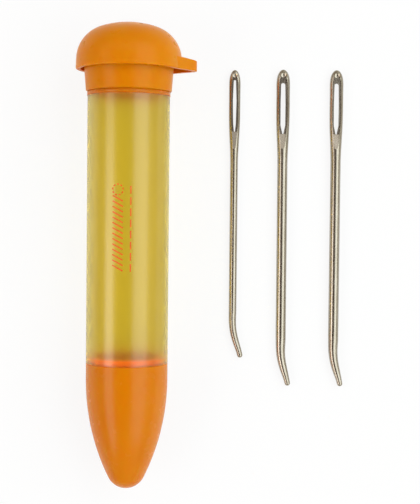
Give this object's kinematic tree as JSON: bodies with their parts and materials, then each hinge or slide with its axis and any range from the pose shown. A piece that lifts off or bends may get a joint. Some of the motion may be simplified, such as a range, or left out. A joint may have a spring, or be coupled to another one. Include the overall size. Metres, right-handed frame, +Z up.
{
  "type": "bent-tip yarn needles with storage case",
  "caption": "Bent-tip yarn needles with long grooved eyes, lying beside a pointed translucent storage tube with a domed pull-off cap and thumb tab.",
  "frame": {"origin": "on the plane that everything lies on, below the middle of the whole set", "axes": "+Z up, +Y along the case and the needles towards the cap and the eyes, +X from the case to the needles"},
  "size_m": [0.0582, 0.0988, 0.0225],
  "materials": {
    "tube_plastic": "translucent amber yellow plastic, slightly frosted",
    "case_plastic": "orange moulded plastic with a soft gloss",
    "needle_steel": "nickel-plated steel, polished"
  },
  "bodies": {
    "case": {"tube": "tube_plastic", "base": "case_plastic"},
    "cap": {"cap": "case_plastic"},
    "small_needle": {"small_needle": "needle_steel"},
    "large_needle_1": {"large_needle_1": "needle_steel"},
    "large_needle_2": {"large_needle_2": "needle_steel"}
  },
  "joints": [
    {"name": "cap_pull", "type": "slide", "parent": "case", "child": "cap", "axis": [0, 0.9993, 0.038], "range_m": [0, 0.03]},
    {"name": "small_needle_slide", "type": "slide", "parent": "case", "child": "small_needle", "axis": [0, -1, 0], "range_m": [0, 0.06]},
    {"name": "large_needle_1_slide", "type": "slide", "parent": "case", "child": "large_needle_1", "axis": [0, -1, 0], "range_m": [0, 0.07]},
    {"name": "large_needle_2_slide", "type": "slide", "parent": "case", "child": "large_needle_2", "axis": [-0.0035, -1, 0], "range_m": [0, 0.07]}
  ]
}
